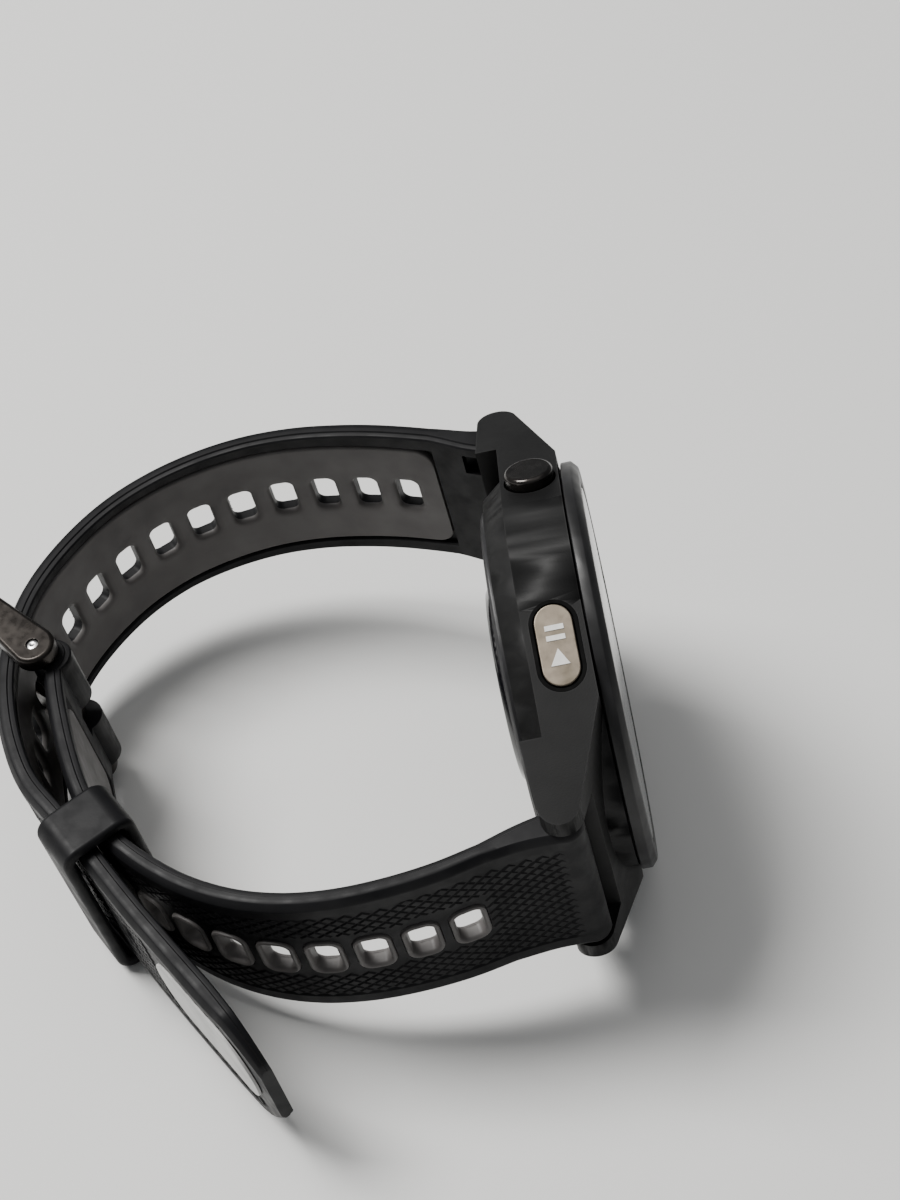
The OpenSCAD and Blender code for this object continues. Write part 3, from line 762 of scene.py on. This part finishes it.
def makeTongue():
    # the eye is bored first; the strip then starts inside the eye's wall
    pin = Vector(buckle["pin"])
    thick, wide = buckle["tongueThick"] / 2, buckle["tongueWidth"] / 2
    around = [Vector((math.cos(a), math.sin(a))) for a in (math.radians(t) for t in range(0, 360, 10))]
    eye = bmesh.new()
    softSlab(eye, lambda inset: [pin + (buckle["tongueEye"] - inset) * way for way in around],
             -wide, wide, buckle["tongueSoft"])
    hole = bmesh.new()
    turned(hole, buckle["pin"], [(buckle["pinRadius"] + 0.05, z) for z in (-5, 5)])
    shape = cutAway(eye, hole)
    route = Route(buckle["tongue"])
    first = buckle["tongueFrom"]
    rings = []
    for k in range(41):
        along = first + (route.length - first) * k / 40
        left = route.length - along
        half = thick * (0.45 + 0.55 * min(1, left / 2) ** 0.5)
        w = wide * (0.7 + 0.3 * min(1, left / 3) ** 0.5)
        point, side = route.at(along)
        rings.append([Vector((*(point + side * z), y)) for z, y in roundedOutline(half, w, 0.35, 3)])
    ringsToMesh(shape, rings)
    addPiece("buckle_tongue", shape, "gunmetal", "tongue", "buckle_tongue")


makeBuckle()
makeTongue()
print("buckle made")

# The pieces whose shape is already right
softness = {
    "mid_case": 0.22, "bezel": 0.16, "lens": 0.1,
    "run_button": 0.3, "back_button": 0.45, "light_button": 0.45, "up_button": 0.45, "down_button": 0.45,
    "case_back": 0.15, "sensor_window": 0.25, "run_button_seat": 0.08, "battery": 0.25,
    "back_screws": 0.06, "motor_can": 0.1, "spring_bar_12": 0.06, "spring_bar_6": 0.06,
}
softWay = {"weld": 0.002, "flatTurn": 1, "edgeTurn": 24, "rounds": 3}


def finishNode(node, slot):
    piece = nodes[node]
    piece.data.materials.clear()
    piece.data.materials.append(materials[slot])
    if node not in softness:
        return
    weld = piece.modifiers.new("weld", "WELD")
    weld.merge_threshold = softWay["weld"] * mm
    flat = piece.modifiers.new("flat faces", "DECIMATE")
    flat.decimate_type = "DISSOLVE"
    flat.angle_limit = math.radians(softWay["flatTurn"])
    soft = piece.modifiers.new("soft edges", "BEVEL")
    soft.width = softness[node] * mm
    soft.segments = softWay["rounds"]
    soft.limit_method = "ANGLE"
    soft.angle_limit = math.radians(softWay["edgeTurn"])
    soft.harden_normals = True


for part in frame["record"]["subparts"]:
    if not nodes[part["node"]].hide_render:
        finishNode(part["node"], part["material_slot"])
print("finishes on", len(nodes), "nodes")

# Camera, floor and light
shot = {
    "lookAt": (-11.783, 13.601, 0), "distance": 284.076,
    "azimuth": 7.441, "elevation": 50.543, "roll": -17.301,
    "lens": 73.62, "film": 36,
}


def makeCamera():
    az, el, roll = (math.radians(shot[k]) for k in ("azimuth", "elevation", "roll"))
    back = Vector((math.sin(az) * math.cos(el), -math.cos(az) * math.cos(el), math.sin(el)))
    right = (-back).cross(Vector((0, 0, 1))).normalized()
    up = right.cross(-back)
    leanRight = right * math.cos(roll) + up * math.sin(roll)
    leanUp = up * math.cos(roll) - right * math.sin(roll)
    place = Matrix((leanRight, leanUp, back)).transposed().to_4x4()
    spot = watchLie @ (Vector(shot["lookAt"]) + back * shot["distance"])
    turn = (watchLie.to_3x3() * (1 / mm)).to_4x4()
    lens = bpy.data.cameras.new("camera")
    lens.lens = shot["lens"]
    lens.sensor_width = shot["film"]
    lens.clip_start = 0.01
    camera = bpy.data.objects.new("camera", lens)
    camera.matrix_world = Matrix.Translation(spot) @ turn @ place
    bpy.context.scene.collection.objects.link(camera)
    bpy.context.scene.camera = camera


studio = {
    "floor": (0.8, 0.8, 0.79), "floorRough": 0.75, "floorHalf": 1.5,
    "sky": (0.86, 0.88, 0.9), "skyStrength": 0.24,
}


def makeFloor():
    shape = bmesh.new()
    bmesh.ops.create_grid(shape, x_segments=1, y_segments=1, size=studio["floorHalf"])
    mesh = bpy.data.meshes.new("floor")
    shape.to_mesh(mesh)
    shape.free()
    floor = bpy.data.objects.new("floor", mesh)
    bpy.context.scene.collection.objects.link(floor)
    material = bpy.data.materials.new("floor")
    material.use_nodes = True
    shader = material.node_tree.nodes["Principled BSDF"]
    shader.inputs["Base Color"].default_value = (*studio["floor"], 1)
    shader.inputs["Roughness"].default_value = studio["floorRough"]
    mesh.materials.append(material)


lights = {
    "window": dict(at=(-0.62, 0.22, 0.95), size=0.5, power=21, colour=(1, 0.99, 0.97)),
    "ceiling": dict(at=(0, 0.15, 1.3), size=1.2, power=2.4, colour=(1, 0.98, 0.95)),
}


def makeLights():
    for name, light in lights.items():
        lamp = bpy.data.lights.new(name, "AREA")
        lamp.size = light["size"]
        lamp.energy = light["power"]
        lamp.color = light["colour"]
        item = bpy.data.objects.new(name, lamp)
        item.location = light["at"]
        item.rotation_euler = Vector(light["at"]).to_track_quat("Z", "Y").to_euler()
        bpy.context.scene.collection.objects.link(item)
    world = bpy.data.worlds.new("studio")
    world.use_nodes = True
    sky = world.node_tree.nodes["Background"]
    sky.inputs["Color"].default_value = (*studio["sky"], 1)
    sky.inputs["Strength"].default_value = studio["skyStrength"]
    bpy.context.scene.world = world


makeCamera()
makeFloor()
makeLights()
print("camera, floor and lights made")
